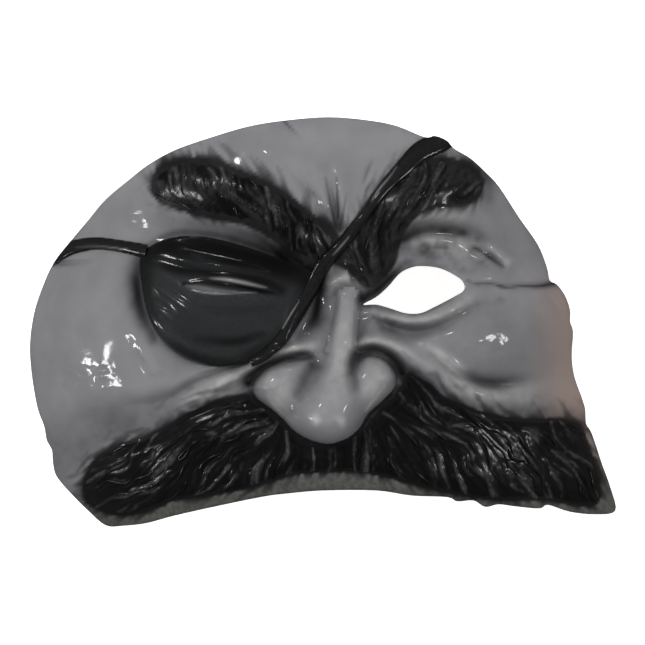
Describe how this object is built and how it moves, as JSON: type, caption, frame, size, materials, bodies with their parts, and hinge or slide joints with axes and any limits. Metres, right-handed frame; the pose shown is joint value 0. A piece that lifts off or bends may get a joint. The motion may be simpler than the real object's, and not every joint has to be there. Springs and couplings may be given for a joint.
{
  "type": "pirate half mask",
  "caption": "Moulded half mask of a scowling pirate face, with one open eye, a patch on straps over the other, bushy brows, a crooked nose and a wide moustache.",
  "frame": {"origin": "middle of the footprint on the surface that the cut rim rests on", "axes": "+X the viewer's right across the face, +Y up the face to the forehead, +Z out of the face"},
  "size_m": [0.206, 0.1434, 0.0795],
  "materials": {
    "shell": "grey paint under clear lacquer on papier-mache",
    "patch": "black, lacquered",
    "strap": "black, lacquered",
    "hair": "hair relief, black paint under clear lacquer"
  },
  "bodies": {
    "root": {"mask_shell": "shell", "eye_patch": "patch", "patch_strap_upper": "strap", "patch_strap_side": "strap", "eyebrow_left": "hair", "eyebrow_right": "hair", "moustache": "hair"}
  },
  "joints": []
}
